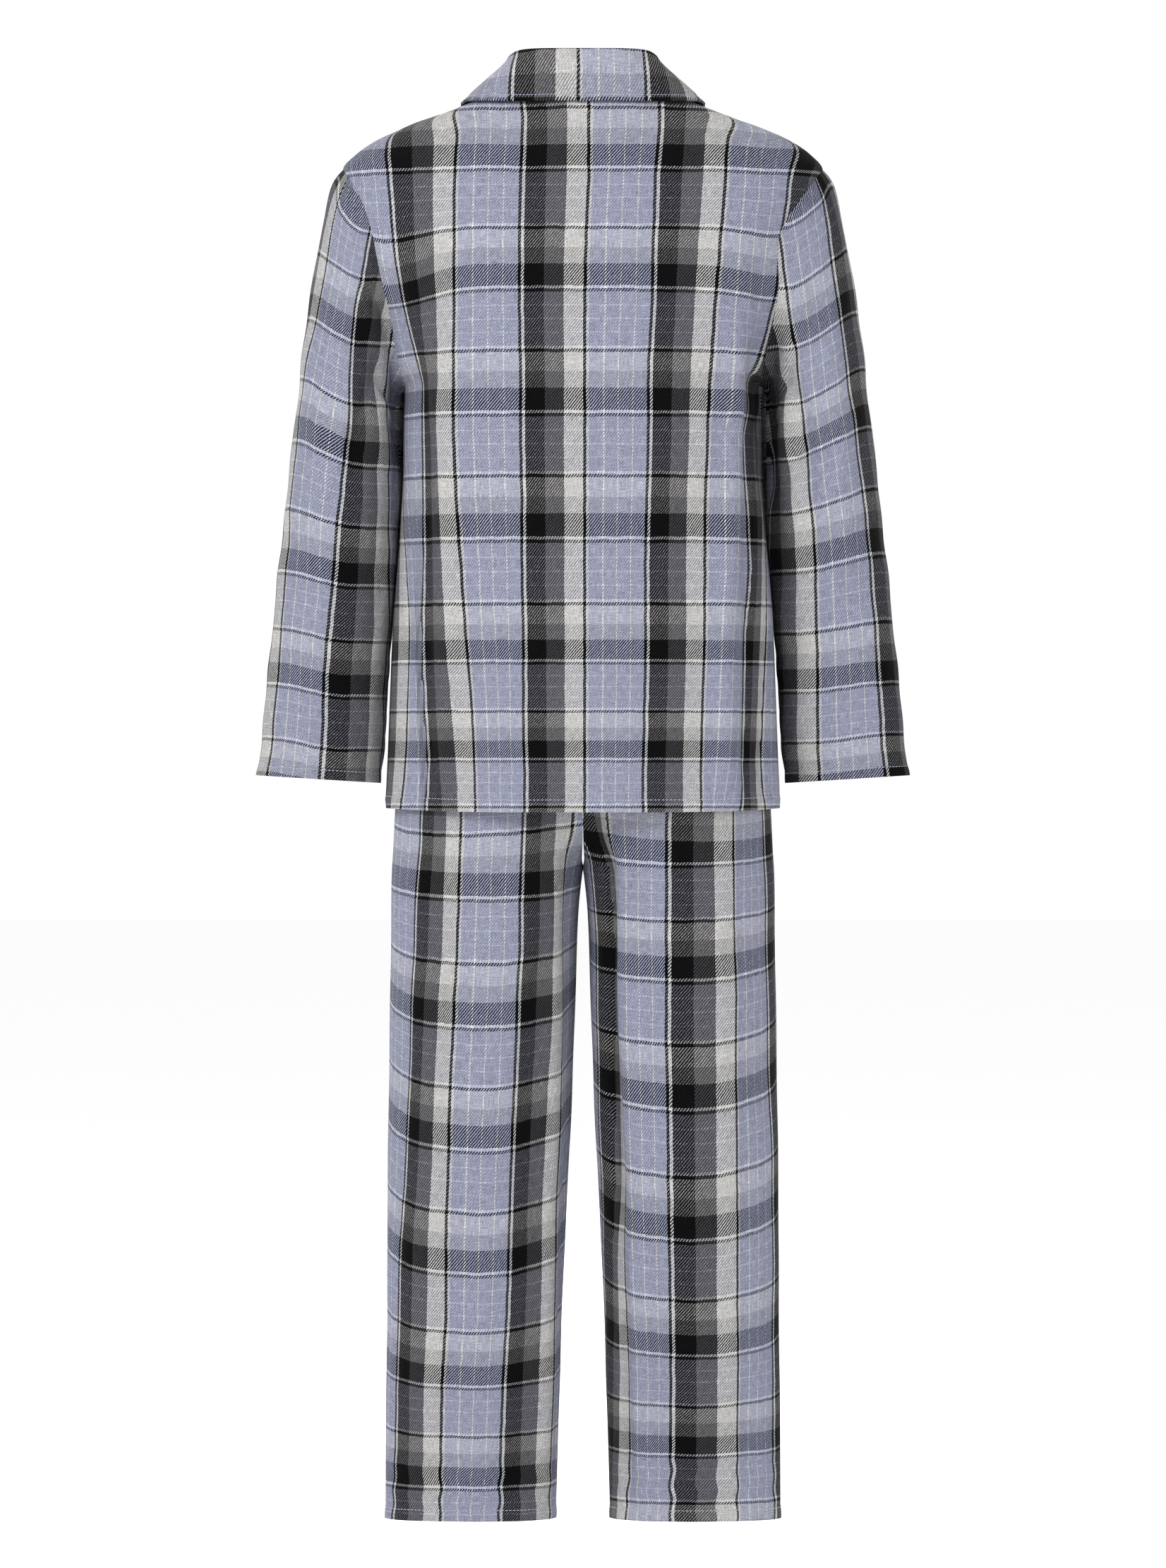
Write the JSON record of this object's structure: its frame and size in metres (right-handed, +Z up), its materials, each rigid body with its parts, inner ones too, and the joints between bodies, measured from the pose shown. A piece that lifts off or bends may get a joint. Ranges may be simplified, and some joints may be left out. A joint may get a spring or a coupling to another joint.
{
  "type": "long-sleeved pyjama set, jacket and trousers, worn hollow",
  "caption": "Child's brushed-cotton check pyjama jacket with collar and buttons over straight matching trousers, filled out as if worn, with open neck, cuffs and hems.",
  "frame": {"origin": "middle of the neck opening at the height of the shoulders, where the wearer holds the set up", "axes": "+Z up, the wearer faces -Y with the back on +Y, and the wearer's left arm is on +X"},
  "size_m": [0.509, 0.2102, 1.1407],
  "materials": {
    "flannel": "brushed twill cotton in a woven check of black, white, charcoal and dusty blue",
    "button": "soft sheen, off-white, four holes"
  },
  "bodies": {
    "root": {"jacket_back": "flannel", "jacket_front_left": "flannel", "jacket_front_right": "flannel", "sleeve_left": "flannel", "sleeve_right": "flannel", "collar": "flannel", "lapel_left": "flannel", "lapel_right": "flannel", "trouser_back_left": "flannel", "trouser_back_right": "flannel", "trouser_front_left": "flannel", "trouser_front_right": "flannel", "waistband": "flannel", "button_1": "button", "button_2": "button", "button_3": "button", "button_4": "button"}
  },
  "joints": []
}
